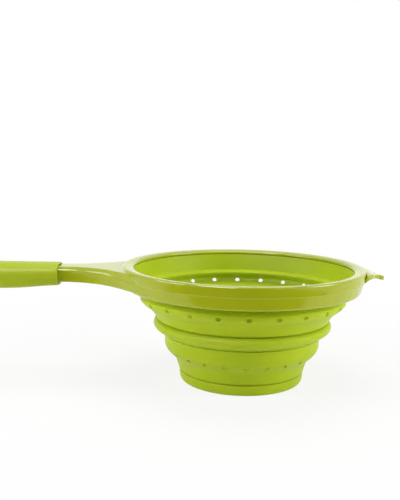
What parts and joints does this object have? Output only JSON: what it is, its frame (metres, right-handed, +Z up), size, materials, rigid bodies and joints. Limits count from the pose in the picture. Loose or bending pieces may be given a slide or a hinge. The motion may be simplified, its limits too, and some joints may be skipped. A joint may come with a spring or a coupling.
{
  "type": "collapsible colander",
  "caption": "Collapsible colander: a soft tiered bowl with drain holes folds up into a rigid ring with one long handle and a small rest tab.",
  "frame": {"origin": "centre of the base's flat underside, on the bowl's axis", "axes": "+Z up along the bowl's axis; -X along the handle, +X towards the rest tab; the object is mirror-symmetric across the X-Z plane"},
  "size_m": [0.383, 0.205, 0.0985],
  "materials": {
    "frame_plastic": "gloss",
    "clamp_plastic": "satin",
    "bowl_silicone": "satin",
    "grip_skin": "satin"
  },
  "bodies": {
    "rim": {"rim_frame": "frame_plastic", "clamp_ring": "clamp_plastic", "bowl_collar": "bowl_silicone", "upper_fold": "bowl_silicone", "grip_sleeve": "grip_skin"},
    "upper_tier": {"upper_band": "bowl_silicone", "middle_fold": "bowl_silicone"},
    "lower_tier": {"lower_band": "bowl_silicone", "lower_fold": "bowl_silicone"},
    "base": {"base_cup": "bowl_silicone"}
  },
  "joints": [
    {"name": "upper_collapse", "type": "slide", "parent": "rim", "child": "upper_tier", "axis": [0, 0, 1], "range_m": [0, 0.022], "deforming": ["upper_fold"]},
    {"name": "middle_collapse", "type": "slide", "parent": "upper_tier", "child": "lower_tier", "axis": [0, 0, 1], "range_m": [0, 0.028], "deforming": ["middle_fold"]},
    {"name": "lower_collapse", "type": "slide", "parent": "lower_tier", "child": "base", "axis": [0, 0, 1], "range_m": [0, 0.021], "deforming": ["lower_fold"]}
  ]
}
